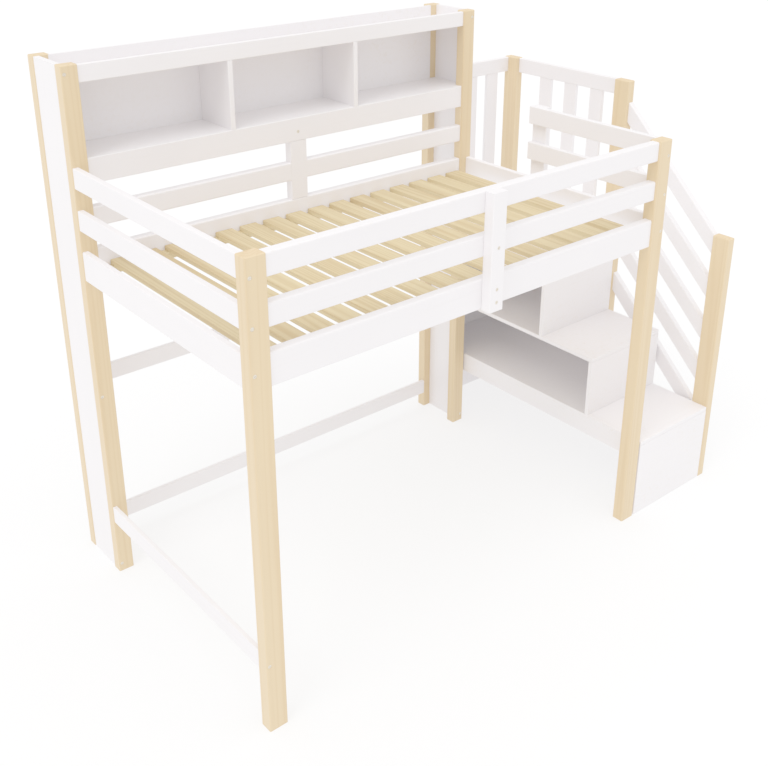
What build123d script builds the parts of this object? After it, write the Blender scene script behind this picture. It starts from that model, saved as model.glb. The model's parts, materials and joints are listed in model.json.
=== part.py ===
from build123d import *
import math
import os

# Bed posts. Sizes are in millimetres: X runs along the bed, Y towards the back, Z up.
bed_length = 2020  # over the outer faces of the end posts
bed_depth = 1152  # from the front posts' faces to the bookcase posts' faces
front_post_width = 76
front_post_depth = 54
case_depth = 285  # over the front and rear posts of the bookcase
case_post_width = 66
case_post_depth = 48
case_post_height = 2174
post_rounding = 4
post_top_chamfer = 3

# Rails and guards of the bed
side_rail_bottom = 1355
side_rail_height = 118
guard_height = 80
guard_gap = 84
post_above_guard = 3
rail_thickness = 40
rail_setback = 7
rail_rounding = 7
end_rail_thickness = 25
end_setback = 3
end_rounding = 4
entry_width = 400  # opening between the right guard and the bookcase post
entry_upright_width = 80
entry_upright_thickness = 25

# Centre supports
front_support_width = 66
front_support_thickness = 45
back_support_width = 80

# Slats and the ledgers that carry them
slat_count = 16
slat_width = 81
slat_pitch = 116.7
slat_thickness = 20
slat_chamfer = 2
slat_recess = 57  # depth of the mattress recess below the side rails' tops
slat_end_gap = 2
first_slat_gap = 84
ledger_width = 30
ledger_height = 30
ledger_end_gap = 2

# Stretchers
stretcher_thickness = 18
stretcher_height = 76
back_low_stretcher_bottom = 81
back_high_stretcher_bottom = 781
left_stretcher_bottom = 252
stretcher_rounding = 3

# Bookcase over the back edge of the bed
case_board_thickness = 20
case_top_drop = 2  # the end and back panels stop this far below the post tops
top_front_height = 65
top_front_drop = 4
shelf_front_bottom = 1727
shelf_front_height = 99
divider_thickness = 22
divider_spread = 626  # between the middles of the two dividers
divider_tongue = 5
back_panel_thickness = 12
back_panel_rabbet = 6
end_panel_thickness = 22
end_panel_housing = 5
foot_strip_height = 72
board_rounding = 3

# Stub tenons on the ends of the rails
tenon_length = 12
tenon_cheek = 4
tenon_shoulder = 10
fit_gap = 0.2

# Stairs
stair_gap = 8  # between the bed posts and the steps
step_width = 502
step_count = 3  # two steps and the landing
first_step_height = 391
step_rise = 297
step_going = 314.5
stair_board_thickness = 20
riser_thickness = 18
stair_panel_thickness = 18
stair_housing = 6
band_thickness = 18
band_height = 100
nosing_rounding = 5

# Posts, sloping rails and landing guard of the stairs
stair_post_width = 45
stair_post_depth = 84
stair_front_post_height = 1247
stair_rear_post_height = 1856
slope_rail_count = 5
slope_rail_thickness = 30
slope_rail_height = 72  # square to the slope
slope_rail_pitch = 217  # plumb distance from rail to rail
slope_rail_drop = 6
slope_rail_rounding = 5
landing_rail_height = 73
landing_rail_thickness = 25
landing_rail_drop = 3
baluster_width = 77
baluster_thickness = 18
baluster_count = 3
side_baluster_gap = 88
baluster_foot = 8
baluster_rounding = 3

# Bolts and nuts
rod_sides = 12  # the small round parts repeat often, so they are prisms
bolt_radius = 3
bolt_head_radius = 7
bolt_head_height = 4
bolt_head_sink = 0.5
bolt_socket_radius = 4
bolt_socket_depth = 2.5
bolt_clearance = 0.4
bolt_past_nut = 6
guard_bolt_height = 16  # above the lower edge of a guard rail
side_bolt_offset = 25  # of the front support's two bolts from the side rail's middle
case_top_bolt_drop = 30
case_mid_bolt_height = 849
barrel_nut_radius = 5
barrel_nut_length = 12
barrel_nut_depth = 38  # behind the joint's face
sleeve_nut_radius = 5
sleeve_nut_length = 16
sleeve_flange_radius = 8
sleeve_flange_height = 2

# Levels and faces that follow from the sizes above
LOW = 0
HIGH = 1
side_rail_z = (side_rail_bottom, side_rail_bottom + side_rail_height)
lower_guard_z = (side_rail_z[HIGH] + guard_gap, side_rail_z[HIGH] + guard_gap + guard_height)
upper_guard_z = (lower_guard_z[HIGH] + guard_gap, lower_guard_z[HIGH] + guard_gap + guard_height)
front_post_height = upper_guard_z[HIGH] + post_above_guard
slat_top = side_rail_z[HIGH] - slat_recess
slat_bottom = slat_top - slat_thickness

front_rail_y = (rail_setback, rail_setback + rail_thickness)
back_rail_y = (bed_depth + rail_setback, bed_depth + rail_setback + rail_thickness)
left_end_x = (end_setback, end_setback + end_rail_thickness)
right_end_x = (bed_length - end_setback - end_rail_thickness, bed_length - end_setback)
front_between_x = (front_post_width, bed_length - front_post_width)
back_between_x = (case_post_width, bed_length - case_post_width)
end_between_y = (front_post_depth, bed_depth)
guard_end_y = bed_depth - entry_width
bed_middle_x = bed_length / 2

case_back = bed_depth + case_depth
rear_post_front = case_back - case_post_depth
case_between_y = (bed_depth + case_post_depth, rear_post_front)
case_front_board_y = (bed_depth + rail_setback, bed_depth + rail_setback + case_board_thickness)
case_inside_y = (case_front_board_y[HIGH], rear_post_front)
case_panel_top = case_post_height - case_top_drop
shelf_top = shelf_front_bottom + shelf_front_height
shelf_z = (shelf_top - case_board_thickness, shelf_top)
top_front_z = (case_post_height - top_front_drop - top_front_height, case_post_height - top_front_drop)
top_board_z = (top_front_z[LOW], top_front_z[LOW] + case_board_thickness)
left_panel_x = (end_setback, end_setback + end_panel_thickness)
right_panel_x = (bed_length - end_setback - end_panel_thickness, bed_length - end_setback)

step_left = bed_length + stair_gap
step_right = step_left + step_width
stair_outer = step_right + stair_post_width
panel_inner = step_right - stair_panel_thickness
housing_end = panel_inner + stair_housing
stair_back = case_back
back_panel_front = stair_back - riser_thickness
step_tops = [first_step_height + step_rise * step for step in range(step_count)]
landing_top = step_tops[-1]
step_fronts = [step_going * step for step in range(step_count)]
middle_post_y = (step_fronts[-1], step_fronts[-1] + stair_post_depth)
rear_stair_post_y = (stair_back - stair_post_depth, stair_back)


def block(x_span, y_span, z_span):
    """A rectangular solid that fills three spans, each a (low, high) pair."""
    spans = (x_span, y_span, z_span)
    size = [high - low for low, high in spans]
    middle = [(high + low) / 2 for low, high in spans]
    return Pos(*middle) * Box(*size)


def shifted(span, distance):
    """A span moved along its axis."""
    return (span[LOW] + distance, span[HIGH] + distance)


def inset(span, distance):
    """A span made shorter by a distance at both ends."""
    return (span[LOW] + distance, span[HIGH] - distance)


def centred(middle, width):
    """A span of some width about a middle."""
    return (middle - width / 2, middle + width / 2)


def middle_of(span):
    """The middle of a span."""
    return (span[LOW] + span[HIGH]) / 2


def rod(start, direction, length, radius):
    """A small round rod, or the hole for one, from a point along a direction."""
    return extrude(Plane(start, z_dir=direction) * RegularPolygon(radius, rod_sides), length)


def rounded_along(solid, axis, radius):
    """Round the edges that run along one axis."""
    return fillet(solid.edges().filter_by(axis), radius)


class Rail:
    """A straight member along one axis, with stub tenons on the ends that enter a post."""

    def __init__(self, x_span, y_span, z_span, axis, rounding, tenoned=(LOW, HIGH)):
        self.spans = [x_span, y_span, z_span]
        self.axis = axis
        self.rounding = rounding
        self.tenoned = tenoned
        self.run = [Axis.X, Axis.Y].index(axis)
        self.cheek = 1 - self.run

    def tenons(self, growth=0):
        """The stub tenons, or with growth the mortises that take them."""
        blocks = []
        for end in self.tenoned:
            spans = list(self.spans)
            face = self.spans[self.run][end]
            reach = tenon_length + growth
            spans[self.run] = (face - reach, face) if end == LOW else (face, face + reach)
            spans[self.cheek] = inset(self.spans[self.cheek], tenon_cheek - growth)
            spans[2] = inset(self.spans[2], tenon_shoulder - growth)
            blocks.append(block(*spans))
        return blocks

    def solid(self):
        """The member with its rounded long edges and its tenons."""
        body = rounded_along(block(*self.spans), self.axis, self.rounding)
        return body + self.tenons() if self.tenoned else body


class Bolt:
    """A socket-head bolt that runs towards the back from a face, with the nut that holds it."""

    def __init__(self, x, face, z, nut_y):
        self.x = x
        self.face = face
        self.z = z
        self.nut_y = nut_y

    def turned(self, y_span, radius):
        """A rod on the bolt's own axis."""
        start = (self.x, y_span[LOW], self.z)
        return rod(start, Axis.Y.direction, y_span[HIGH] - y_span[LOW], radius)

    def solid(self):
        """The bolt, with a square-cut head and a six-sided socket."""
        seat = self.face + bolt_head_sink + bolt_head_height
        head = self.turned((self.face + bolt_head_sink, seat), bolt_head_radius)
        shank = self.turned((seat, self.tip()), bolt_radius)
        mouth = Plane((self.x, self.face + bolt_head_sink, self.z), z_dir=Axis.Y.direction)
        socket = extrude(mouth * RegularPolygon(bolt_socket_radius, 6), bolt_socket_depth)
        return head + shank - socket

    def tip(self):
        """Where the bolt's shank ends."""
        return self.nut_y + bolt_past_nut

    def space(self):
        """The counterbore and the clearance hole that the bolt needs in the wood."""
        seat = self.face + bolt_head_sink + bolt_head_height
        counterbore = self.turned((self.face - bolt_clearance, seat), bolt_head_radius + bolt_clearance)
        hole = self.turned((self.face, self.tip() + bolt_clearance), bolt_radius + bolt_clearance)
        return counterbore + hole


class BarrelBolt(Bolt):
    """A bolt whose nut is a cross dowel that enters a rail's inner face along X."""

    def __init__(self, x, face, z, nut_y, inner_face):
        super().__init__(x, face, z, nut_y)
        self.inner_face = inner_face

    def nut(self):
        """The cross dowel with the bolt's hole through it."""
        start = (self.x - barrel_nut_length / 2, self.nut_y, self.z)
        hole = self.turned(centred(self.nut_y, barrel_nut_length), bolt_radius + fit_gap)
        return rod(start, Axis.X.direction, barrel_nut_length, barrel_nut_radius) - hole

    def nut_space(self):
        """The cross hole, open at the rail's inner face."""
        inward = math.copysign(barrel_nut_length / 2 + fit_gap, self.x - self.inner_face)
        low, high = sorted((self.inner_face, self.x + inward))
        start = (low, self.nut_y, self.z)
        return rod(start, Axis.X.direction, high - low, barrel_nut_radius + fit_gap)


class SleeveBolt(Bolt):
    """A bolt that goes through to a flanged sleeve nut let into the far face."""

    def __init__(self, x, face, z, far_face):
        super().__init__(x, face, z, far_face - sleeve_flange_height - bolt_past_nut)
        self.far_face = far_face

    def nut(self):
        """The sleeve nut, bored for the bolt."""
        flange = self.turned((self.far_face - sleeve_flange_height, self.far_face), sleeve_flange_radius)
        sleeve = self.turned((self.far_face - sleeve_nut_length, self.far_face), sleeve_nut_radius)
        bore = self.turned((self.far_face - sleeve_nut_length, self.tip()), bolt_radius + fit_gap)
        return flange + sleeve - bore

    def nut_space(self):
        """The stepped hole for the sleeve nut."""
        flange_y = (self.far_face - sleeve_flange_height, self.far_face + fit_gap)
        sleeve_y = (self.far_face - sleeve_nut_length - fit_gap, self.far_face)
        flange = self.turned(flange_y, sleeve_flange_radius + fit_gap)
        return flange + self.turned(sleeve_y, sleeve_nut_radius + fit_gap)


def bed_rails():
    """The rails, guards and stretchers of the bed, by name."""
    front, back = front_rail_y, back_rail_y
    support_x = centred(bed_middle_x, back_support_width)
    rails = {
        "rail_side_front": Rail(front_between_x, front, side_rail_z, Axis.X, rail_rounding),
        "rail_side_back": Rail(back_between_x, back, side_rail_z, Axis.X, rail_rounding),
        "guard_front_lower": Rail(front_between_x, front, lower_guard_z, Axis.X, rail_rounding),
        "guard_front_upper": Rail(front_between_x, front, upper_guard_z, Axis.X, rail_rounding),
        "guard_back_left": Rail(
            (back_between_x[LOW], support_x[LOW]), back, lower_guard_z, Axis.X, rail_rounding),
        "guard_back_right": Rail(
            (support_x[HIGH], back_between_x[HIGH]), back, lower_guard_z, Axis.X, rail_rounding),
        "rail_end_left": Rail(left_end_x, end_between_y, side_rail_z, Axis.Y, end_rounding),
        "rail_end_right": Rail(right_end_x, end_between_y, side_rail_z, Axis.Y, end_rounding),
    }
    free_run = (front_post_depth, guard_end_y)
    for level, z_span in (("lower", lower_guard_z), ("upper", upper_guard_z)):
        rails[f"guard_left_{level}"] = Rail(left_end_x, end_between_y, z_span, Axis.Y, end_rounding)
        rails[f"guard_right_{level}"] = Rail(
            right_end_x, free_run, z_span, Axis.Y, end_rounding, tenoned=(LOW,))
    return rails


def stretchers():
    """The three thin stretchers, by name."""
    back_y = (rear_post_front, rear_post_front + stretcher_thickness)
    left_x = (end_setback, end_setback + stretcher_thickness)
    low = (back_low_stretcher_bottom, back_low_stretcher_bottom + stretcher_height)
    high = (back_high_stretcher_bottom, back_high_stretcher_bottom + stretcher_height)
    left = (left_stretcher_bottom, left_stretcher_bottom + stretcher_height)
    return {
        "stretcher_back_low": Rail(back_between_x, back_y, low, Axis.X, stretcher_rounding),
        "stretcher_back_high": Rail(back_between_x, back_y, high, Axis.X, stretcher_rounding),
        "stretcher_left": Rail(left_x, end_between_y, left, Axis.Y, stretcher_rounding),
    }


def case_front_boards():
    """The two boards that run along the bookcase's front, by name."""
    shelf_front_z = (shelf_front_bottom, shelf_top)
    return {
        "case_top_front": Rail(back_between_x, case_front_board_y, top_front_z, Axis.X, board_rounding),
        "case_shelf_front": Rail(back_between_x, case_front_board_y, shelf_front_z, Axis.X, board_rounding),
    }


def landing_rails():
    """The two top rails of the landing guard, by name."""
    top = stair_rear_post_height - landing_rail_drop
    z_span = (top - landing_rail_height, top)
    side_x = (stair_outer - landing_rail_thickness, stair_outer)
    side_y = (middle_post_y[HIGH], rear_stair_post_y[LOW])
    back_y = (stair_back - landing_rail_thickness, stair_back)
    return {
        "landing_rail_side": Rail(side_x, side_y, z_span, Axis.Y, end_rounding),
        "landing_rail_back": Rail((bed_length, step_right), back_y, z_span, Axis.X, end_rounding),
    }


def end_bolts():
    """The bolts through the front posts into the end rails and the left stretcher."""
    nut_y = front_post_depth + barrel_nut_depth
    levels = [lower_guard_z[LOW] + guard_bolt_height, upper_guard_z[LOW] + guard_bolt_height]
    levels.append(middle_of(side_rail_z))
    bolts = [BarrelBolt(middle_of(left_end_x), 0, z, nut_y, left_end_x[HIGH]) for z in levels]
    bolts += [BarrelBolt(middle_of(right_end_x), 0, z, nut_y, right_end_x[LOW]) for z in levels]
    stretcher_x = end_setback + stretcher_thickness / 2
    stretcher_z = left_stretcher_bottom + stretcher_height / 2
    inner_face = end_setback + stretcher_thickness
    bolts.append(BarrelBolt(stretcher_x, 0, stretcher_z, nut_y, inner_face))
    return bolts


def case_bolts():
    """The bolts through the bookcase's front posts into its end panels and foot strips."""
    nut_y = case_between_y[LOW] + barrel_nut_depth
    levels = [foot_strip_height / 2, case_mid_bolt_height, case_panel_top - case_top_bolt_drop]
    bolts = []
    for panel_x, inner_side in ((left_panel_x, HIGH), (right_panel_x, LOW)):
        x, inner_face = middle_of(panel_x), panel_x[inner_side]
        bolts += [BarrelBolt(x, bed_depth, z, nut_y, inner_face) for z in levels]
    return bolts


def support_bolts():
    """The through bolts of the two centre supports."""
    face = front_rail_y[LOW] - front_support_thickness
    levels = [middle_of(side_rail_z) + side for side in (-side_bolt_offset, side_bolt_offset)]
    levels.append(middle_of(lower_guard_z))
    bolts = [SleeveBolt(bed_middle_x, face, z, front_rail_y[HIGH]) for z in levels]
    shelf_front_z = shelf_front_bottom + shelf_front_height / 2 - case_board_thickness / 2
    bolts.append(SleeveBolt(bed_middle_x, case_front_board_y[LOW], shelf_front_z, back_rail_y[HIGH]))
    return bolts


def drilled(solid, bolts):
    """A piece with the holes of every bolt and nut that reaches it."""
    box = solid.bounding_box()
    for bolt in bolts:
        for space in (bolt.space(), bolt.nut_space()):
            if box.overlaps(space.bounding_box()):
                solid = solid - space
    return solid


def mortised(solid, rails):
    """A piece with the mortises of every tenon that enters it."""
    box = solid.bounding_box()
    for rail in rails:
        for cut in rail.tenons(fit_gap):
            if box.overlaps(cut.bounding_box()):
                solid = solid - cut
    return solid


def post(x_span, y_span, height):
    """A square-cut post with rounded corners and a chamfered top."""
    body = rounded_along(block(x_span, y_span, (0, height)), Axis.Z, post_rounding)
    return chamfer(body.faces().sort_by(Axis.Z)[-1].edges(), post_top_chamfer)


def bed_posts():
    """The six posts of the bed and its bookcase, by name."""
    left_front = (0, front_post_width)
    right_front = (bed_length - front_post_width, bed_length)
    left_case = (0, case_post_width)
    right_case = (bed_length - case_post_width, bed_length)
    front_y = (0, front_post_depth)
    case_y = (bed_depth, bed_depth + case_post_depth)
    rear_y = (rear_post_front, case_back)
    return {
        "post_front_left": post(left_front, front_y, front_post_height),
        "post_front_right": post(right_front, front_y, front_post_height),
        "post_case_left": post(left_case, case_y, case_post_height),
        "post_case_right": post(right_case, case_y, case_post_height),
        "post_rear_left": post(left_case, rear_y, case_post_height),
        "post_rear_right": post(right_case, rear_y, case_post_height),
    }


def front_support():
    """The centre support that stands outside the front rails."""
    y_span = (front_rail_y[LOW] - front_support_thickness, front_rail_y[LOW])
    z_span = (side_rail_bottom, upper_guard_z[HIGH])
    body = block(centred(bed_middle_x, front_support_width), y_span, z_span)
    return rounded_along(body, Axis.Z, post_rounding)


def back_support():
    """The centre support in line with the back rails, rebated for the shelf's front board."""
    x_span = centred(bed_middle_x, back_support_width)
    lower = block(x_span, back_rail_y, (side_rail_z[HIGH], shelf_front_bottom))
    behind_board = (case_front_board_y[HIGH], back_rail_y[HIGH])
    return lower + block(x_span, behind_board, (shelf_front_bottom, shelf_z[LOW]))


def entry_upright():
    """The short upright that ends the right guard beside the entry."""
    x_span = (right_end_x[HIGH], right_end_x[HIGH] + entry_upright_thickness)
    y_span = (guard_end_y - entry_upright_width, guard_end_y)
    body = block(x_span, y_span, (side_rail_bottom, upper_guard_z[HIGH]))
    return rounded_along(body, Axis.Z, end_rounding)


def ledgers():
    """The two strips on the side rails' inner faces that carry the slats."""
    x_span = inset(front_between_x, ledger_end_gap)
    z_span = (slat_bottom - ledger_height, slat_bottom)
    front_y = (front_rail_y[HIGH], front_rail_y[HIGH] + ledger_width)
    back_y = (back_rail_y[LOW] - ledger_width, back_rail_y[LOW])
    return {
        "ledger_front": block(x_span, front_y, z_span),
        "ledger_back": block(x_span, back_y, z_span),
    }


def slats():
    """The slats, which lie across the bed on the ledgers."""
    y_span = inset((front_rail_y[HIGH], back_rail_y[LOW]), slat_end_gap)
    first = left_end_x[HIGH] + first_slat_gap
    solids = []
    for index in range(slat_count):
        x_span = shifted((first, first + slat_width), index * slat_pitch)
        slat = block(x_span, y_span, (slat_bottom, slat_top))
        solids.append(chamfer(slat.edges().filter_by(Axis.Y), slat_chamfer))
    return Compound(children=solids)


def divider_spans():
    """The X spans of the bookcase's two dividers."""
    middles = (bed_middle_x - divider_spread / 2, bed_middle_x + divider_spread / 2)
    return [centred(middle, divider_thickness) for middle in middles]


def case_board(z_span, groove_z):
    """A board of the bookcase: notched round the front posts, grooved for the dividers."""
    x_span = (left_panel_x[HIGH] - end_panel_housing, right_panel_x[LOW] + end_panel_housing)
    body = block(x_span, case_inside_y, z_span)
    notch_y = (case_inside_y[LOW], case_between_y[LOW] + fit_gap)
    body -= block((x_span[LOW], case_post_width + fit_gap), notch_y, z_span)
    body -= block((bed_length - case_post_width - fit_gap, x_span[HIGH]), notch_y, z_span)
    for divider_x in divider_spans():
        body -= block(inset(divider_x, -fit_gap), case_inside_y, groove_z)
    return body


def divider(x_span):
    """A divider with a tongue along its foot and its head."""
    y_span = (case_front_board_y[LOW], case_inside_y[HIGH])
    body = block(x_span, y_span, (shelf_top, top_board_z[LOW]))
    front_edges = body.edges().filter_by(Axis.Z).sort_by(Axis.Y)[:2]
    tongue_z = (shelf_top - divider_tongue, top_board_z[LOW] + divider_tongue)
    return fillet(front_edges, board_rounding) + block(x_span, case_inside_y, tongue_z)


def back_panel(growth=0):
    """The bookcase's back, which lies in rabbets of the rear posts, or the space that it needs."""
    x_span = inset(back_between_x, -back_panel_rabbet - growth)
    y_span = (rear_post_front - growth, rear_post_front + back_panel_thickness + growth)
    return block(x_span, y_span, inset((shelf_front_bottom, case_panel_top), -growth))


def end_panel(x_span):
    """An end panel of the bookcase, housed for its two boards."""
    body = block(x_span, case_between_y, (foot_strip_height, case_panel_top))
    board_x = (left_panel_x[HIGH] - end_panel_housing, right_panel_x[LOW] + end_panel_housing)
    for z_span in (shelf_z, top_board_z):
        body -= block(inset(board_x, -fit_gap), case_between_y, inset(z_span, -fit_gap))
    return body


def bookcase():
    """The boards and panels of the bookcase, by name."""
    foot_z = (0, foot_strip_height)
    groove_low = (shelf_top - divider_tongue - fit_gap, shelf_top)
    groove_high = (top_board_z[LOW], top_board_z[LOW] + divider_tongue + fit_gap)
    left_divider, right_divider = divider_spans()
    return {
        "case_shelf": case_board(shelf_z, groove_low),
        "case_top_board": case_board(top_board_z, groove_high),
        "case_divider_left": divider(left_divider),
        "case_divider_right": divider(right_divider),
        "case_back_panel": back_panel(),
        "case_end_left": end_panel(left_panel_x),
        "case_end_right": end_panel(right_panel_x),
        "case_foot_left": block(left_panel_x, case_between_y, foot_z),
        "case_foot_right": block(right_panel_x, case_between_y, foot_z),
    }


def riser(index):
    """The upright board under a step's front edge."""
    y_span = (step_fronts[index], step_fronts[index] + riser_thickness)
    foot = step_tops[index - 1] if index else 0
    return block((step_left, step_right), y_span, (foot, step_tops[index] - stair_board_thickness))


def nosed(board):
    """A step board with its front edge rounded."""
    front_edges = board.edges().filter_by(Axis.X).group_by(Axis.Y)[0]
    return fillet(front_edges, nosing_rounding)


def housed_run(index, growth=0):
    """The back part of a step board, which is housed in the side panel, or its housing."""
    y_span = (step_fronts[index + 1] + riser_thickness - growth, back_panel_front + growth)
    z_span = (step_tops[index] - stair_board_thickness, step_tops[index])
    return block((step_left, housing_end + growth), y_span, inset(z_span, -growth))


def step_board(index):
    """A step that runs back inside the stairs as the floor of a cubby."""
    z_span = (step_tops[index] - stair_board_thickness, step_tops[index])
    y_span = (step_fronts[index], step_fronts[index + 1] + riser_thickness)
    tread = nosed(block((step_left, step_right), y_span, z_span))
    return tread + housed_run(index)


def band(growth=0):
    """The board that covers the left edge of the lowest step board."""
    x_span = (step_left - growth, step_left + band_thickness + growth)
    y_span = (riser_thickness, back_panel_front)
    return block(x_span, y_span, (step_tops[0] - band_height, step_tops[0]))


def side_panel():
    """The stepped side panel, with housings for the two step boards."""
    level = 0
    outline = []
    for front, top in zip(step_fronts, step_tops):
        edge = front + riser_thickness
        outline += [(edge, level), (edge, top - stair_board_thickness)]
        level = top - stair_board_thickness
    outline += [(back_panel_front, level), (back_panel_front, 0)]
    face = make_face(Polyline(*outline, close=True))
    body = extrude(Plane.YZ.offset(panel_inner) * face, stair_panel_thickness)
    for index in range(step_count - 1):
        body -= housed_run(index, fit_gap)
    return body


def landing_board():
    """The landing, notched round the middle and rear posts, with mortises for the balusters."""
    z_span = (landing_top - stair_board_thickness, landing_top)
    body = nosed(block((step_left, stair_outer), (step_fronts[-1], stair_back), z_span))
    for post_y in (middle_post_y, rear_stair_post_y):
        body -= block((step_right - fit_gap, stair_outer), inset(post_y, -fit_gap), z_span)
    for mortise in baluster_blocks(fit_gap):
        body -= mortise
    return body


def stair_case():
    """The boards of the stairs, by name."""
    back_z = (0, landing_top - stair_board_thickness)
    pieces = {f"stair_riser_{index + 1}": riser(index) for index in range(step_count)}
    pieces["stair_board_1"] = step_board(0) - band(fit_gap)
    pieces["stair_board_2"] = step_board(1)
    pieces["stair_landing"] = landing_board()
    pieces["stair_band"] = band()
    pieces["stair_side_panel"] = side_panel()
    pieces["stair_back_panel"] = block((step_left, step_right), (back_panel_front, stair_back), back_z)
    return pieces


def stair_posts():
    """The three outer posts of the stairs, by name."""
    x_span = (step_right, stair_outer)
    front_y = (0, stair_post_depth)
    return {
        "stair_post_front": post(x_span, front_y, stair_front_post_height),
        "stair_post_middle": post(x_span, middle_post_y, stair_rear_post_height),
        "stair_post_rear": post(x_span, rear_stair_post_y, stair_rear_post_height),
    }


def sloping_rails():
    """The parallel rails beside the steps, cut plumb where they meet the posts."""
    slope = step_rise / step_going
    plumb_height = slope_rail_height * math.hypot(1, slope)
    low_y, high_y = stair_post_depth, middle_post_y[LOW]
    climb = slope * (high_y - low_y)
    plane = Plane.YZ.offset(stair_outer - slope_rail_thickness)
    solids = []
    for index in range(slope_rail_count):
        top = stair_front_post_height - slope_rail_drop - index * slope_rail_pitch
        outline = [(low_y, top), (high_y, top + climb)]
        outline += [(high_y, top + climb - plumb_height), (low_y, top - plumb_height)]
        rail = extrude(plane * make_face(Polyline(*outline, close=True)), slope_rail_thickness)
        solids.append(fillet(rail.edges().sort_by(SortBy.LENGTH)[-4:], slope_rail_rounding))
    return Compound(children=solids)


def side_baluster_blocks(growth=0):
    """The blocks of the side guard's balusters, or with growth their mortises."""
    x_span = inset(centred(stair_outer - landing_rail_thickness / 2, baluster_thickness), -growth)
    pitch = baluster_width + side_baluster_gap
    first = middle_post_y[HIGH] + side_baluster_gap
    y_spans = [shifted((first, first + baluster_width), index * pitch) for index in range(baluster_count)]
    return [block(x_span, inset(y_span, -growth), baluster_z(growth)) for y_span in y_spans]


def back_baluster_blocks(growth=0):
    """The blocks of the back guard's balusters, or with growth their mortises."""
    y_span = inset(centred(stair_back - landing_rail_thickness / 2, baluster_thickness), -growth)
    free = step_right - bed_length - baluster_count * baluster_width
    gap = free / (baluster_count + 1)
    first = bed_length + gap
    pitch = baluster_width + gap
    x_spans = [shifted((first, first + baluster_width), index * pitch) for index in range(baluster_count)]
    return [block(inset(x_span, -growth), y_span, baluster_z(growth)) for x_span in x_spans]


def baluster_z(growth):
    """From a foot let into the landing to a head let into the top rail."""
    rail_bottom = stair_rear_post_height - landing_rail_drop - landing_rail_height
    return (landing_top - baluster_foot - growth, rail_bottom + baluster_foot + growth)


def baluster_blocks(growth=0):
    """Every baluster's block, or with growth every mortise."""
    return side_baluster_blocks(growth) + back_baluster_blocks(growth)


def balusters():
    """The balusters of the two guards, by name."""
    side = [rounded_along(solid, Axis.Z, baluster_rounding) for solid in side_baluster_blocks()]
    back = [rounded_along(solid, Axis.Z, baluster_rounding) for solid in back_baluster_blocks()]
    return {"balusters_side": Compound(children=side), "balusters_back": Compound(children=back)}


def loft_bed():
    """Every piece of the bed, by name."""
    rails = bed_rails() | stretchers() | case_front_boards() | landing_rails()
    bolts = end_bolts() + case_bolts() + support_bolts()
    pieces = {name: rail.solid() for name, rail in rails.items()}
    for name in landing_rails():
        for mortise in baluster_blocks(fit_gap):
            pieces[name] -= mortise
    posts = bed_posts() | stair_posts() | {"support_back": back_support()}
    for name, solid in posts.items():
        pieces[name] = mortised(solid, rails.values())
    for name in ("post_rear_left", "post_rear_right"):
        pieces[name] -= back_panel(fit_gap)
    pieces |= {"support_front": front_support(), "entry_upright": entry_upright()}
    pieces |= ledgers() | bookcase() | stair_case()
    pieces = {name: drilled(solid, bolts) for name, solid in pieces.items()}
    pieces["slats"] = slats()
    pieces["sloping_rails"] = sloping_rails()
    pieces |= balusters()
    pieces["bolts"] = Compound(children=[bolt.solid() for bolt in bolts])
    pieces["bolt_nuts"] = Compound(children=[bolt.nut() for bolt in bolts])
    return pieces


# The origin is on the floor, under the middle of the whole bed and stairs.
front_reach = front_rail_y[LOW] - front_support_thickness
to_origin = Pos(-stair_outer / 2, -(front_reach + case_back) / 2, 0)

os.makedirs("parts", exist_ok=True)
for piece_name, piece in loft_bed().items():
    export_step(to_origin * piece, f"parts/{piece_name}.step")
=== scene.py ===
"""A loft bed of pine posts and white lacquered boards, with a bookcase along its back and box stairs.

Sizes are in metres, in the part's own frame: X along the bed, Y from its open front to the
bookcase, Z up.
"""

import json
import math

import bpy
import numpy as np
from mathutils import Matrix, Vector


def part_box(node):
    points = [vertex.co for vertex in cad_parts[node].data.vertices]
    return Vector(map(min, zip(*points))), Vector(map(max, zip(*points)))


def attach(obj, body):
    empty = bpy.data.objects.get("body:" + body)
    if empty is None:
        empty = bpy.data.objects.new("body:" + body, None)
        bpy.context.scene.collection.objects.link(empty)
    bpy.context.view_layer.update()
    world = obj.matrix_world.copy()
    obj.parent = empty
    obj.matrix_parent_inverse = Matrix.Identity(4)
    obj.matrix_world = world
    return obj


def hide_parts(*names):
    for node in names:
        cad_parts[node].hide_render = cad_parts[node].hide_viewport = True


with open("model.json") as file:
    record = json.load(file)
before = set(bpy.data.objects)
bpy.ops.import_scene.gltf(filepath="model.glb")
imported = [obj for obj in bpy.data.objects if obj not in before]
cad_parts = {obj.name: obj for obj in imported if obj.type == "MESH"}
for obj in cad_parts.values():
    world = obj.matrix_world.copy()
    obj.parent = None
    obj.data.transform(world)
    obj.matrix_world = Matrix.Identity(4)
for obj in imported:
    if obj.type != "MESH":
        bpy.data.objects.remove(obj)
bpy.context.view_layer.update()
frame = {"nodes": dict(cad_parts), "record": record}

X, Y, Z = 0, 1, 2

# Steps in the meshes' arcs and rings
ARC_STEPS = 5
EASE_STEPS = 3
BOLT_STEPS = 36

# Edges
EASED = 0.0012  # a board's sharp edges
GUARD_ROUNDING = 0.007
END_ROUNDING = 0.004
SLENDER_ROUNDING = 0.003  # slats, balusters, dividers and stretchers
LEDGER_ROUNDING = 0.0015
NOSING = 0.003  # a step's edges
SLOPING_ROUNDING = 0.005

# Joints, which the boxes of the nodes don't give
TENON = 0.012  # a rail's hidden stub tenon
FOOT = 0.008  # how far a baluster is let in at each end
TONGUE = 0.005  # how far a divider is let in at its foot and head
HOUSING = 0.006  # how far a step board is let into the side panel
FIT = 0.0002  # play round a post or in a socket

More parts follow.
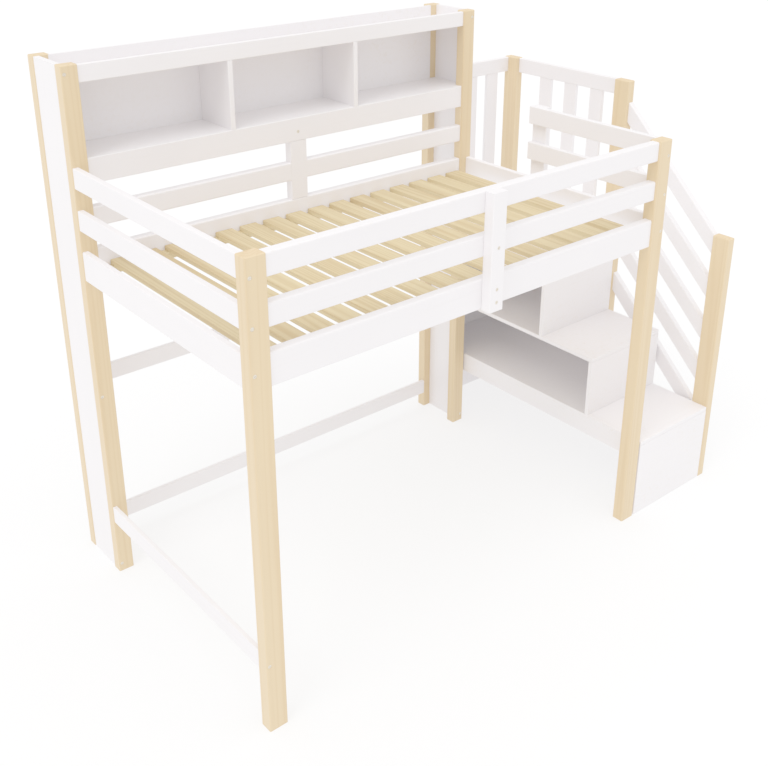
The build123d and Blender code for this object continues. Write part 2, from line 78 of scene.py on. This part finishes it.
# Members that share one node
SLAT_COUNT, SLAT_WIDTH = 16, 0.081
BALUSTER_COUNT, BALUSTER_WIDTH = 3, 0.077
SLOPING_COUNT = 5
SLOPING_DEPTH = 0.072  # square to the slope
SLOPING_PITCH = 0.217  # from one down to the next
SLOPING_DROP = 0.006  # of the upper one below the post's top

# Bolts
BOLT_SINK = 0.0005  # of a head below the surface
END_BOLT, CASE_BOLT, THROUGH_BOLT, SHELF_BOLT = 0.097, 0.0915, 0.0885, 0.0365
GUARD_BOLT_LIFT = 0.016  # above a guard rail's lower edge
CASE_BOLT_LEVELS = (0.036, 0.849)
CASE_BOLT_DROP = 0.03  # of the third one below the end panel's top
SUPPORT_BOLT_OFFSET = 0.025  # above and below the side rail's middle
SHELF_BOLT_DROP = 0.01  # below the middle of the board
SHANK_RADIUS, POINT_RADIUS, POINT_LENGTH = 0.003, 0.0022, 0.001
HEAD_PROFILE = [  # radius, depth, and 1 where a ring has the socket's six sides
    (0.0004, 0.0025, 1),
    (0.0032, 0.0025, 1),
    (0.0033, 0.0023, 1),
    (0.0034, 0.0004, 1),
    (0.0037, 0.0, 1),
    (0.0045, 0.0, 0),
    (0.0062, 0.0, 0),
    (0.0067, 0.0002, 0),
    (0.007, 0.0007, 0),
    (0.007, 0.0038, 0),
    (0.0068, 0.004, 0),
    (0.0031, 0.004, 0),
    (SHANK_RADIUS, 0.0042, 0),
]

# How many times longer than wide each pattern of the grain is
RING_STRETCH = 55
FIBRE_STRETCH = 60
KNOT_STRETCH = 2.2
LACQUERED_GRAIN_STRETCH = 26
LACQUERED_FIGURE_STRETCH = 14

# Colours
WHITE = (0.885, 0.852, 0.866, 1)
PALE_PINE = (0.704, 0.502, 0.256, 1)
SLAT_PINE = (0.604, 0.457, 0.212, 1)
KNOT_BROWN = (0.34, 0.17, 0.065, 1)
BOLT_METAL = (0.84, 0.77, 0.65, 1)
FLOOR_TONE = (0.35, 0.35, 0.35, 1)

# The studio
FROM_ALL_ROUND = 0.66
FROM_UPPER_LEFT = 0.738
FROM_ABOVE = 1.083
FLOOR_GLOW = 0.604  # the floor is a light table
FLOOR_REACH = 60.0
VIEW_GAMMA = 1.9  # lifts the shade as a bright exposure does


def toned(colour, red, green, blue):
    """A colour with each channel multiplied."""
    return (colour[0] * red, colour[1] * green, colour[2] * blue, 1)


# Shader maths


class Value:
    """A socket of a finish. Arithmetic on it adds Math nodes."""

    def __init__(self, finish, socket):
        self.finish = finish
        self.socket = socket

    def math(self, operation, *terms):
        return self.finish.node("ShaderNodeMath", {"operation": operation}, *terms)

    def __add__(self, other):
        return self.math("ADD", self, other)

    def __sub__(self, other):
        return self.math("SUBTRACT", self, other)

    def __rsub__(self, other):
        return self.math("SUBTRACT", other, self)

    def __mul__(self, other):
        return self.math("MULTIPLY", self, other)

    def __pow__(self, other):
        return self.math("POWER", self, other)

    __radd__ = __add__
    __rmul__ = __mul__

    def sine(self):
        return self.math("SINE", self)

    def size(self):
        return self.math("ABSOLUTE", self)

    def remainder(self):
        return self.math("FRACT", self)

    def between(self, low, high):
        """0 at low, 1 at high and a smooth climb from one to the other; low may be the greater."""
        settings = {"interpolation_type": "SMOOTHSTEP"}
        return self.finish.node("ShaderNodeMapRange", settings, self, low, high, 0.0, 1.0)


class Finish:
    """A material, with one method that adds any node to it."""

    def __init__(self, name):
        self.material = bpy.data.materials.new(name)
        self.material.use_nodes = True
        self.tree = self.material.node_tree
        self.surface = self.tree.nodes["Principled BSDF"]

    def node(self, kind, settings, *terms, output=0, **named):
        """Add a node, make its settings, then fill its inputs in order and by name."""
        node = self.tree.nodes.new(kind)
        for setting, choice in settings.items():
            setattr(node, setting, choice)
        inputs = list(zip([socket for socket in node.inputs if socket.enabled], terms))
        inputs += [(node.inputs[name], term) for name, term in named.items()]
        for socket, term in inputs:
            self.fill(socket, term)
        enabled = [socket for socket in node.outputs if socket.enabled]
        found = enabled[output] if isinstance(output, int) else node.outputs[output]
        return Value(self, found)

    def fill(self, socket, term):
        """Link a socket to another value, or give it a constant."""
        if isinstance(term, Value):
            self.tree.links.new(term.socket, socket)
        else:
            socket.default_value = term

    def place(self):
        """The point in the part's own frame."""
        return self.node("ShaderNodeTexCoord", {}, output="Object")

    def facing(self, axis):
        """How squarely the surface faces along an axis, from 0 to 1."""
        normal = self.node("ShaderNodeNewGeometry", {}, output="Normal")
        return self.node("ShaderNodeSeparateXYZ", {}, normal, output=axis).size()

    def trait(self, name):
        """A number that the piece's mesh carries at each point, or 0 where it has none."""
        settings = {"attribute_type": "GEOMETRY", "attribute_name": name}
        return self.node("ShaderNodeAttribute", settings, output="Fac")

    def scaled(self, vector, factors):
        """A vector multiplied, axis by axis."""
        return self.node("ShaderNodeVectorMath", {"operation": "MULTIPLY"}, vector, factors)

    def moved(self, vector, distance):
        """A vector moved by multiples of one value."""
        shift = self.node("ShaderNodeCombineXYZ", {}, distance, distance * 1.7, distance * 0.6)
        return self.node("ShaderNodeVectorMath", {"operation": "ADD"}, vector, shift)

    def noise(self, vector, scale, detail, roughness):
        """Smooth noise about 0.5."""
        named = {"Vector": vector, "Scale": scale, "Detail": detail, "Roughness": roughness}
        settings = {"noise_dimensions": "3D"}
        return self.node("ShaderNodeTexNoise", settings, output="Fac", **named)

    def cells(self, vector, scale):
        """The distance to the nearest of many scattered points."""
        settings = {"feature": "F1", "voronoi_dimensions": "3D"}
        named = {"Vector": vector, "Scale": scale}
        return self.node("ShaderNodeTexVoronoi", settings, output="Distance", **named)

    def blend(self, first, second, share):
        """A colour between two others."""
        return self.node("ShaderNodeMix", {"data_type": "RGBA"}, share, first, second)

    def relief(self, height, strength, depth):
        """A surface normal raised by a height."""
        named = {"Height": height, "Strength": strength, "Distance": depth}
        return self.node("ShaderNodeBump", {}, output="Normal", **named)

    def coat(self, **looks):
        """Fill the surface's own sockets, whose names are written with _ for a space."""
        for name, term in looks.items():
            self.fill(self.surface.inputs[name.replace("_", " ")], term)
        return self.material


# Finishes


def stretched(along, amount):
    """Factors that stretch a pattern along one axis."""
    factors = [1.0, 1.0, 1.0]
    factors[along] = 1 / amount
    return factors


def pine(name, along, pale, dark, figure, satin):
    """Pine with growth rings drawn out along the grain, fibres, a few knots and darker end grain.

    The rings are a sine of smooth noise, whose phase swirls round the knots. A number that each
    board carries moves the pattern and shifts the tone, so no two boards are alike.
    """
    finish = Finish(name)
    board = finish.trait("board")
    point = finish.moved(finish.place(), board * 7.3)
    drawn_out = finish.scaled(point, stretched(along, RING_STRETCH))
    fine = finish.scaled(point, stretched(along, FIBRE_STRETCH))
    fibres = finish.noise(fine, scale=420.0, detail=3.0, roughness=0.6)
    knot_distance = finish.cells(finish.scaled(point, stretched(along, KNOT_STRETCH)), scale=3.1)
    knot = knot_distance.between(0.062, 0.03)
    swirl = knot_distance.between(0.26, 0.03)
    phase = finish.noise(drawn_out, scale=9.0, detail=1.5, roughness=0.45) * 90 + swirl * 5
    rings = (phase.sine() * 0.5 + 0.5) ** 2.4
    streaks = finish.noise(drawn_out, scale=34.0, detail=3.0, roughness=0.55).between(0.38, 0.68)
    tone = finish.noise(point, scale=1.6, detail=2.0, roughness=0.5).between(0.3, 0.7)
    end_grain = finish.facing(along).between(0.75, 0.97)
    share = rings * figure + streaks * (figure * 0.6) + (fibres - 0.5) * (figure * 0.9)
    share = share + (tone - 0.5) * 0.16
    share = share + ((board * 5.31).remainder() - 0.5) * 0.3 + end_grain * 0.3
    wood = finish.blend(pale, dark, share.between(-0.25, 1.15))
    wood = finish.blend(wood, KNOT_BROWN, knot * 0.5)
    return finish.coat(
        Base_Color=wood,
        Roughness=satin + rings * 0.06 + fibres * 0.1 + end_grain * 0.15,
        Normal=finish.relief(fibres * 0.5 + rings * 0.35 - knot * 0.4, 0.22, 0.0006),
        Specular_IOR_Level=0.4,
    )


def lacquer(name, along):
    """White satin lacquer on softwood: faint grain shows through, and edges wear a little thin."""
    finish = Finish(name)
    point = finish.moved(finish.place(), finish.trait("board") * 5.9)
    along_grain = finish.scaled(point, stretched(along, LACQUERED_GRAIN_STRETCH))
    along_figure = finish.scaled(point, stretched(along, LACQUERED_FIGURE_STRETCH))
    grain = finish.noise(along_grain, scale=90.0, detail=3.0, roughness=0.6)
    figure = finish.noise(along_figure, scale=14.0, detail=2.0, roughness=0.5)
    spray = finish.noise(point, scale=900.0, detail=1.0, roughness=0.5)
    cloud = finish.noise(point, scale=2.3, detail=3.0, roughness=0.5).between(0.3, 0.72)
    patches = finish.noise(point, scale=65.0, detail=4.0, roughness=0.6).between(0.5, 0.72)
    worn = finish.trait("edge") * patches
    white = finish.blend(WHITE, toned(WHITE, 0.955, 0.95, 0.95), cloud * 0.4 + figure * 0.3)
    white = finish.blend(white, toned(WHITE, 0.92, 0.91, 0.89), grain.between(0.56, 0.8) * 0.3)
    white = finish.blend(white, toned(WHITE, 0.84, 0.77, 0.64), worn * 0.35)
    return finish.coat(
        Base_Color=white,
        Roughness=0.36 + cloud * 0.08 + grain * 0.07 + worn * 0.12,
        Normal=finish.relief(grain * 0.6 + figure * 0.3 + spray * 0.12, 0.12, 0.0005),
        Specular_IOR_Level=0.45,
        Coat_Weight=0.12 - worn * 0.1,
        Coat_Roughness=0.22,
    )


def zinc(name):
    """Yellow-zinc-plated steel with a fine cloudy crystal."""
    finish = Finish(name)
    point = finish.place()
    crystal = finish.cells(point, scale=700.0)
    cloud = finish.noise(point, scale=240.0, detail=3.0, roughness=0.6)
    metal = finish.blend(BOLT_METAL, toned(BOLT_METAL, 0.8, 0.77, 0.7), cloud.between(0.3, 0.7))
    return finish.coat(
        Base_Color=metal,
        Metallic=0.75 + cloud * 0.1,
        Roughness=0.28 + crystal * 0.16 + cloud * 0.1,
        Normal=finish.relief(cloud, 0.1, 0.0002),
    )


def pale_floor():
    """A plain pale floor with a barely uneven tone and a glow of its own."""
    finish = Finish("pale_floor")
    cloud = finish.noise(finish.place(), scale=0.8, detail=3.0, roughness=0.5)
    tone = finish.blend(FLOOR_TONE, toned(FLOOR_TONE, 0.985, 0.985, 0.985), cloud)
    return finish.coat(
        Base_Color=tone,
        Roughness=0.75 + cloud * 0.1,
        Specular_IOR_Level=0.2,
        Emission_Color=(1, 1, 1, 1),
        Emission_Strength=FLOOR_GLOW,
    )


DARK_POST = toned(PALE_PINE, 0.86, 0.76, 0.64)
DARK_SLAT = toned(SLAT_PINE, 0.74, 0.63, 0.5)
post_pine = pine("post_pine", Z, PALE_PINE, DARK_POST, figure=0.36, satin=0.34)
slat_pine = pine("slat_pine", Y, SLAT_PINE, DARK_SLAT, figure=0.5, satin=0.52)
ledger_pine = pine("ledger_pine", X, SLAT_PINE, DARK_SLAT, figure=0.45, satin=0.52)
white_along = [
    lacquer("white_along_x", X),
    lacquer("white_along_y", Y),
    lacquer("white_upright", Z),
]
yellow_zinc = zinc("yellow_zinc")


# Meshes


def unit(vectors):
    """Vectors of length 1."""
    return vectors / np.linalg.norm(vectors, axis=-1, keepdims=True)


def crossed(first, second):
    """The cross product of vectors in a plane."""
    return first[..., 0] * second[..., 1] - first[..., 1] * second[..., 0]


def other_axes(across):
    """The two axes square to one."""
    return [axis for axis in (X, Y, Z) if axis != across]


def rounded_outline(corners, radius):
    """The closed outline of a flat shape with rounded corners, its outward normals and its bends.

    Each corner's arc has its centre on the bisector, at radius / sin(half the angle), and its
    spokes turn evenly from one side's normal a to the next side's b:
    (sin((1 - u) t) a + sin(u t) b) / sin t. A bend is sin(pi u), so 1 in an arc's middle.
    """
    corners = np.asarray(corners, float)
    back = unit(np.roll(corners, 1, axis=0) - corners)
    ahead = unit(np.roll(corners, -1, axis=0) - corners)
    half = np.arccos(np.clip((back * ahead).sum(1), -1, 1))[:, None] / 2
    centre = corners + unit(back + ahead) * radius / np.sin(half)
    first = unit(corners + back * radius / np.tan(half) - centre)[:, None]
    last = unit(corners + ahead * radius / np.tan(half) - centre)[:, None]
    turn = (math.pi - 2 * half)[:, None]
    u = np.linspace(0, 1, ARC_STEPS + 1)[None, :, None]
    spokes = (np.sin((1 - u) * turn) * first + np.sin(u * turn) * last) / np.sin(turn)
    points = centre[:, None] + radius * spokes
    area = crossed(corners, np.roll(corners, -1, axis=0)).sum()
    outward = np.where(crossed(back, ahead) * area < 0, 1.0, -1.0)[:, None, None] * spokes
    bends = np.broadcast_to(np.sin(u[..., 0] * math.pi), spokes.shape[:2])
    return points.reshape(-1, 2), outward.reshape(-1, 2), bends.reshape(-1)


def plank(corners, radius, across, span, ease):
    """A board: a rounded outline carried through its thickness, with both faces' edges eased.

    At an angle a from 0 to 90 degrees the outline is drawn in by ease (1 - cos a), and lies
    ease (1 - sin a) short of the face. Returns points, normals, how much each point is on an
    edge, the sides' quads and the two faces.
    """
    flat, outward, bends = rounded_outline(corners, radius)
    angle = np.linspace(0, math.pi / 2, EASE_STEPS + 1)
    short = ease * (1 - np.sin(angle))
    level = np.concatenate([span[0] + short[::-1], span[1] - short])
    angle = np.concatenate([-angle[::-1], angle])
    rings = flat[None] - outward[None] * (ease * (1 - np.cos(angle)))[:, None, None]
    sides = outward[None] * np.cos(angle)[:, None, None]
    count, around = len(angle), len(flat)
    u_axis, v_axis = other_axes(across)
    points, normals = np.zeros((count, around, 3)), np.zeros((count, around, 3))
    points[..., u_axis], points[..., v_axis] = rings[..., 0], rings[..., 1]
    points[..., across] = level[:, None]
    normals[..., u_axis], normals[..., v_axis] = sides[..., 0], sides[..., 1]
    normals[..., across] = np.sin(angle)[:, None]
    edge = np.maximum(bends[None], np.sin(2 * np.abs(angle))[:, None])
    starts = np.arange(count - 1) * around
    ring, step = np.meshgrid(starts, np.arange(around), indexing="ij")
    after = (step + 1) % around
    quads = np.stack([ring + step, ring + after, ring + around + after, ring + around + step], -1)
    caps = np.stack([np.arange(around)[::-1], np.arange(around) + (count - 1) * around])
    turns_left = crossed(flat, np.roll(flat, -1, axis=0)).sum() > 0
    onward = -1 if turns_left == (across == Y) else 1
    quads, caps = quads.reshape(-1, 4)[:, ::onward], caps[:, ::onward]
    return points.reshape(-1, 3), normals.reshape(-1, 3), edge.reshape(-1), quads, caps


def turned_bolt(centre, length):
    """A socket-head bolt as one surface: radii and depths carried round an axis along Y.

    Where the socket has six sides, the radius at an angle a is the profile's / cos(d), and d is
    a's distance from the middle of its side, from -30 to 30 degrees.
    """
    shank = [(SHANK_RADIUS, length - POINT_LENGTH, 0), (POINT_RADIUS, length, 0)]
    profile = np.array(HEAD_PROFILE + shank)
    angle = np.linspace(0, 2 * math.pi, BOLT_STEPS, endpoint=False)
    sixth = math.pi / 3
    six_sided = 1 / np.cos((angle + sixth / 2) % sixth - sixth / 2)
    radius = profile[:, :1] * (1 + profile[:, 2:] * (six_sided[None] - 1))
    depth = np.broadcast_to(profile[:, 1:2], radius.shape)
    sideways, upwards = radius * np.cos(angle), radius * np.sin(angle)
    points = np.stack([centre[X] + sideways, centre[Y] + depth, centre[Z] + upwards], -1)
    first = np.arange(BOLT_STEPS)
    starts = np.arange(len(profile) - 1) * BOLT_STEPS
    ring, step = np.meshgrid(starts, first, indexing="ij")
    after = (step + 1) % BOLT_STEPS
    deeper = ring + BOLT_STEPS
    quads = np.stack([ring + step, deeper + step, deeper + after, ring + after], -1)
    caps = np.stack([first, (first + (len(profile) - 1) * BOLT_STEPS)[::-1]])
    return points.reshape(-1, 3), quads.reshape(-1, 4), caps


def joined_faces(surfaces, sizes):
    """The faces of several surfaces in one mesh, given each one's quads, caps and point count."""
    starts = np.cumsum([0] + sizes[:-1])
    faces = [face for start, (quads, _) in zip(starts, surfaces) for face in (quads + start).tolist()]
    faces += [face for start, (_, caps) in zip(starts, surfaces) for face in (caps + start).tolist()]
    return faces


def new_piece(name, points, faces, finish, node):
    """A piece of the bed that stands for one CAD node."""
    mesh = bpy.data.meshes.new(name)
    mesh.from_pydata(points.tolist(), [], faces)
    mesh.polygons.foreach_set("use_smooth", np.ones(len(mesh.polygons), bool))
    mesh.materials.append(finish)
    piece = bpy.data.objects.new(name, mesh)
    bpy.context.scene.collection.objects.link(piece)
    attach(piece, "root")
    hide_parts(node)
    return mesh


def add_boards(name, boards, finish, node):
    """One piece of one or more boards, whose points carry the traits that the finishes read."""
    seed = sum(ord(letter) * (place + 3) for place, letter in enumerate(name))
    rng = np.random.default_rng(seed)
    sizes = [len(board[0]) for board in boards]
    points, normals, edges = [np.concatenate(parts) for parts in list(zip(*boards))[:3]]
    faces = joined_faces([board[3:] for board in boards], sizes)
    mesh = new_piece(name, points, faces, finish, node)
    traits = {"board": np.repeat(rng.random(len(boards)), sizes), "edge": edges}
    for trait, numbers in traits.items():
        carried = mesh.attributes.new(trait, "FLOAT", "POINT")
        carried.data.foreach_set("value", numbers.astype(np.float32))
    mesh.normals_split_custom_set_from_vertices(normals.tolist())


def box_of(node):
    """A node's lowest and highest corners."""
    low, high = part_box(node)
    return np.array(low), np.array(high)


def middle_of(node):
    """The middle of a node's box."""
    return sum(box_of(node)) / 2


def rectangle(low, high):
    """The four corners between two opposite ones."""
    return [(low[0], low[1]), (high[0], low[1]), (high[0], high[1]), (low[0], high[1])]


def prism(low, high, across, radius, ease=EASED):
    """A rectangular board between two corners, its outline rounded and its faces eased."""
    u_axis, v_axis = other_axes(across)
    corners = rectangle((low[u_axis], low[v_axis]), (high[u_axis], high[v_axis]))
    return plank(corners, radius, across, (low[across], high[across]), ease)


def in_a_row(node, axis, count, width, let_in=0.0):
    """The corners of a node's equal members, spaced evenly on an axis, less what is let in."""
    low, high = box_of(node)
    low[Z] += let_in
    high[Z] -= let_in
    pitch = (high[axis] - low[axis] - width) / (count - 1)
    direction = np.eye(3)[axis]
    starts = [low + direction * pitch * place for place in range(count)]
    reach = (high - low) * (1 - direction) + direction * width
    return [(start, start + reach) for start in starts]


def add_white(node, boards, along):
    """A lacquered piece whose grain runs along an axis."""
    add_boards("white_" + node, boards, white_along[along], node)


def add_rail(node, along, radius, tenon=TENON):
    """A rail shown between its two shoulders, without the tenons that the posts hide."""
    low, high = box_of(node)
    low[along] += tenon
    high[along] -= tenon
    add_white(node, [prism(low, high, along, radius)], along)


def add_panel(node, along):
    """A plain board of the bookcase or the stairs, with eased edges."""
    low, high = box_of(node)
    add_white(node, [prism(low, high, int(np.argmin(high - low)), 2 * EASED)], along)


def add_outlined(node, corners, across, along, radius, ease):
    """A board with a notched or stepped outline."""
    low, high = box_of(node)
    add_white(node, [plank(corners, radius, across, (low[across], high[across]), ease)], along)


# Rails, panels and slats


def make_rails():
    """The rails that aren't drilled, the stretchers, and the bookcase's dividers."""
    for name, along, rounding in (
        ("guard_front_upper", X, GUARD_ROUNDING),
        ("guard_back_left", X, GUARD_ROUNDING),
        ("guard_back_right", X, GUARD_ROUNDING),
        ("rail_side_back", X, GUARD_ROUNDING),
        ("stretcher_back_low", X, SLENDER_ROUNDING),
        ("stretcher_back_high", X, SLENDER_ROUNDING),
        ("case_top_front", X, SLENDER_ROUNDING),
        ("landing_rail_side", Y, END_ROUNDING),
        ("landing_rail_back", X, END_ROUNDING),
    ):
        add_rail(name, along, rounding)
    add_rail("entry_upright", Z, END_ROUNDING, tenon=0.0)
    for name in ("case_divider_left", "case_divider_right"):
        add_rail(name, Z, SLENDER_ROUNDING, tenon=TONGUE)


def make_panels():
    """The plain boards of the bookcase and the stairs."""
    for name, along in (
        ("case_back_panel", X),
        ("case_foot_left", Y),
        ("case_foot_right", Y),
        ("stair_riser_1", X),
        ("stair_riser_2", X),
        ("stair_riser_3", X),
        ("stair_band", Y),
        ("stair_back_panel", Z),
    ):
        add_panel(name, along)


def make_slats_and_balusters():
    """The ledgers, the slats on them, and the balusters of the landing's guard."""
    for name in ("ledger_front", "ledger_back"):
        board = prism(*box_of(name), X, LEDGER_ROUNDING)
        add_boards("pine_" + name, [board], ledger_pine, name)
    members = in_a_row("slats", X, SLAT_COUNT, SLAT_WIDTH)
    slats = [prism(low, high, Y, SLENDER_ROUNDING) for low, high in members]
    add_boards("pine_slats", slats, slat_pine, "slats")
    for name, axis in (("balusters_side", Y), ("balusters_back", X)):
        members = in_a_row(name, axis, BALUSTER_COUNT, BALUSTER_WIDTH, FOOT)
        uprights = [prism(low, high, Z, SLENDER_ROUNDING, FIT) for low, high in members]
        add_white(name, uprights, Z)


def make_case_boards():
    """The bookcase's shelf and top board, notched round its two front posts."""
    left = box_of("post_case_left")[1] + FIT
    right = box_of("post_case_right")[0] - FIT
    for name in ("case_shelf", "case_top_board"):
        low, high = box_of(name)
        outline = [
            (left[X], low[Y]),
            (right[X], low[Y]),
            (right[X], left[Y]),
            (high[X], left[Y]),
            (high[X], high[Y]),
            (low[X], high[Y]),
            (low[X], left[Y]),
            (left[X], left[Y]),
        ]
        add_outlined(name, outline, Z, X, 2 * EASED, EASED)


# The stairs


def make_stairs():
    """The stepped side panel, the two step boards, the landing and the sloping rails."""
    step_left, step_right = [corner[X] for corner in box_of("stair_riser_1")]
    back_panel_front = box_of("stair_back_panel")[0][Y]
    risers = [box_of(f"stair_riser_{number}") for number in (1, 2, 3)]
    riser_fronts = [low[Y] for low, _ in risers]
    riser_backs = [high[Y] for _, high in risers]
    step_nodes = ("stair_board_1", "stair_board_2", "stair_landing")
    undersides = [box_of(name)[0][Z] for name in step_nodes]

    stepped = []
    level = 0.0
    for riser_back, underside in zip(riser_backs, undersides):
        stepped += [(riser_back, level), (riser_back, underside)]
        level = underside
    stepped += [(back_panel_front, level), (back_panel_front, 0.0)]
    add_outlined("stair_side_panel", stepped, X, Z, 2 * EASED, EASED)

    housed_x = box_of("stair_side_panel")[0][X] + HOUSING
    band_low, band_high = box_of("stair_band")
    clear_of_band = band_high[X] + FIT
    lower_step = [
        (step_left, riser_fronts[0]),
        (step_right, riser_fronts[0]),
        (step_right, riser_backs[1]),
        (housed_x, riser_backs[1]),
        (housed_x, back_panel_front),
        (clear_of_band, back_panel_front),
        (clear_of_band, band_low[Y]),
        (step_left, band_low[Y]),
    ]
    upper_step = [
        (step_left, riser_fronts[1]),
        (step_right, riser_fronts[1]),
        (step_right, riser_backs[2]),
        (housed_x, riser_backs[2]),
        (housed_x, back_panel_front),
        (step_left, back_panel_front),
    ]
    low, high = box_of("stair_landing")
    clear_of_posts = step_right - FIT
    middle_post_back = box_of("stair_post_middle")[1][Y] + FIT
    rear_post_front = box_of("stair_post_rear")[0][Y] - FIT
    landing = [
        (low[X], low[Y]),
        (clear_of_posts, low[Y]),
        (clear_of_posts, middle_post_back),
        (high[X], middle_post_back),
        (high[X], rear_post_front),
        (clear_of_posts, rear_post_front),
        (clear_of_posts, high[Y]),
        (low[X], high[Y]),
    ]
    for name, outline in zip(step_nodes, (lower_step, upper_step, landing)):
        add_outlined(name, outline, Z, X, NOSING + EASED, NOSING)

    slope = (undersides[1] - undersides[0]) / (riser_fronts[1] - riser_fronts[0])
    make_sloping_rails(slope)


def make_sloping_rails(slope):
    """The rails along the steps, cut plumb at the posts, one below another."""
    low, high = box_of("sloping_rails")
    plumb = SLOPING_DEPTH * math.hypot(1, slope)
    front_post_top = box_of("stair_post_front")[1][Z]
    start, end = low[Y] - SLOPING_ROUNDING, high[Y] + SLOPING_ROUNDING
    rails = []
    for number in range(SLOPING_COUNT):
        top = front_post_top - SLOPING_DROP - number * SLOPING_PITCH - slope * SLOPING_ROUNDING
        climbed = top + slope * (end - start)
        corners = [(start, top), (start, top - plumb), (end, climbed - plumb), (end, climbed)]
        rails.append(plank(corners, SLOPING_ROUNDING, X, (low[X], high[X]), SLOPING_ROUNDING))
    add_white("sloping_rails", rails, Y)


# Bolts


def end_bolts(side):
    """The bolts of one end: through the front post, and through the bookcase's front post."""
    bolts = []
    post_face = box_of("post_front_left")[0][Y] + BOLT_SINK
    for node, level in (
        (f"guard_{side}_lower", box_of(f"guard_{side}_lower")[0][Z] + GUARD_BOLT_LIFT),
        (f"guard_{side}_upper", box_of(f"guard_{side}_upper")[0][Z] + GUARD_BOLT_LIFT),
        (f"rail_end_{side}", middle_of(f"rail_end_{side}")[Z]),
    ):
        bolts.append(((middle_of(node)[X], post_face, level), END_BOLT))
    case_end = f"case_end_{side}"
    case_face = box_of(f"post_case_{side}")[0][Y] + BOLT_SINK
    for level in (*CASE_BOLT_LEVELS, box_of(case_end)[1][Z] - CASE_BOLT_DROP):
        bolts.append(((middle_of(case_end)[X], case_face, level), CASE_BOLT))
    return bolts


def make_bolts():
    """All the bolts as one piece."""
    bolts = end_bolts("left") + end_bolts("right")
    post_face = box_of("post_front_left")[0][Y] + BOLT_SINK
    stretcher = middle_of("stretcher_left")
    bolts.append(((stretcher[X], post_face, stretcher[Z]), END_BOLT))
    support_x = middle_of("support_front")[X]
    support_face = box_of("support_front")[0][Y] + BOLT_SINK
    rail_level = middle_of("rail_side_front")[Z]
    rail_bolts = (rail_level - SUPPORT_BOLT_OFFSET, rail_level + SUPPORT_BOLT_OFFSET)
    for level in (*rail_bolts, middle_of("guard_front_lower")[Z]):
        bolts.append(((support_x, support_face, level), THROUGH_BOLT))
    shelf_face = box_of("case_shelf_front")[0][Y] + BOLT_SINK
    shelf_level = middle_of("case_shelf_front")[Z] - SHELF_BOLT_DROP
    bolts.append(((support_x, shelf_face, shelf_level), SHELF_BOLT))

    turned = [turned_bolt(centre, length) for centre, length in bolts]
    points = np.concatenate([bolt[0] for bolt in turned])
    faces = joined_faces([bolt[1:] for bolt in turned], [len(bolt[0]) for bolt in turned])
    new_piece("steel_bolts", points, faces, yellow_zinc, "bolts")


# The kept solids and the studio


def finish_kept_solids():
    """Posts, drilled rails and end panels, and nuts keep their solids and get a finish."""
    slots = {part["node"]: part["material_slot"] for part in frame["record"]["subparts"]}
    finishes = {"pine_post": post_pine, "pine_slat": ledger_pine, "bolt_steel": yellow_zinc}
    for name, solid in frame["nodes"].items():
        if not solid.hide_render:
            low, high = box_of(name)
            lacquered = white_along[int(np.argmax(high - low))]
            solid.data.materials.clear()
            solid.data.materials.append(finishes.get(slots[name], lacquered))


def lay_floor():
    """A plain floor, which isn't part of the bed."""
    mesh = bpy.data.meshes.new("floor")
    corners = rectangle((-FLOOR_REACH, -FLOOR_REACH), (FLOOR_REACH, FLOOR_REACH))
    mesh.from_pydata([(x, y, 0) for x, y in corners], [], [(0, 1, 2, 3)])
    mesh.materials.append(pale_floor())
    floor = bpy.data.objects.new("floor", mesh)
    bpy.context.scene.collection.objects.link(floor)


def soft_light(name, towards, width, strength):
    """A broad far lamp in one direction, as wide as an angle in degrees."""
    data = bpy.data.lights.new(name, "SUN")
    data.energy = strength
    data.angle = math.radians(width)
    lamp = bpy.data.objects.new(name, data)
    lamp.rotation_euler = Vector(towards).to_track_quat("Z", "Y").to_euler()
    bpy.context.scene.collection.objects.link(lamp)


def light_studio():
    """Even white light from all round, with two soft lamps above."""
    world = bpy.data.worlds.new("studio")
    world.use_nodes = True
    sky = world.node_tree.nodes["Background"]
    sky.inputs["Color"].default_value = (1, 1, 1, 1)
    sky.inputs["Strength"].default_value = FROM_ALL_ROUND
    bpy.context.scene.world = world
    soft_light("from_upper_left", (-0.6, -0.15, 0.79), 30, FROM_UPPER_LEFT)
    soft_light("from_above", (0.05, -0.2, 1.0), 90, FROM_ABOVE)


def set_camera():
    """The photograph's viewing angle and tones."""
    data = bpy.data.cameras.new("camera")
    data.lens = 49.716
    data.sensor_width = 36
    data.shift_x = -0.00871
    data.shift_y = -0.13272
    data.clip_end = 200
    camera = bpy.data.objects.new("camera", data)
    camera.location = (-2.7804, -3.1377, 2.9348)
    turned_by = (66.998, -0.1085, -39.9107)
    camera.rotation_euler = [math.radians(degrees) for degrees in turned_by]
    bpy.context.scene.collection.objects.link(camera)
    bpy.context.scene.camera = camera
    bpy.context.scene.view_settings.view_transform = "Standard"
    bpy.context.scene.view_settings.gamma = VIEW_GAMMA


make_rails()
make_panels()
make_slats_and_balusters()
make_case_boards()
make_stairs()
make_bolts()
finish_kept_solids()
lay_floor()
light_studio()
set_camera()
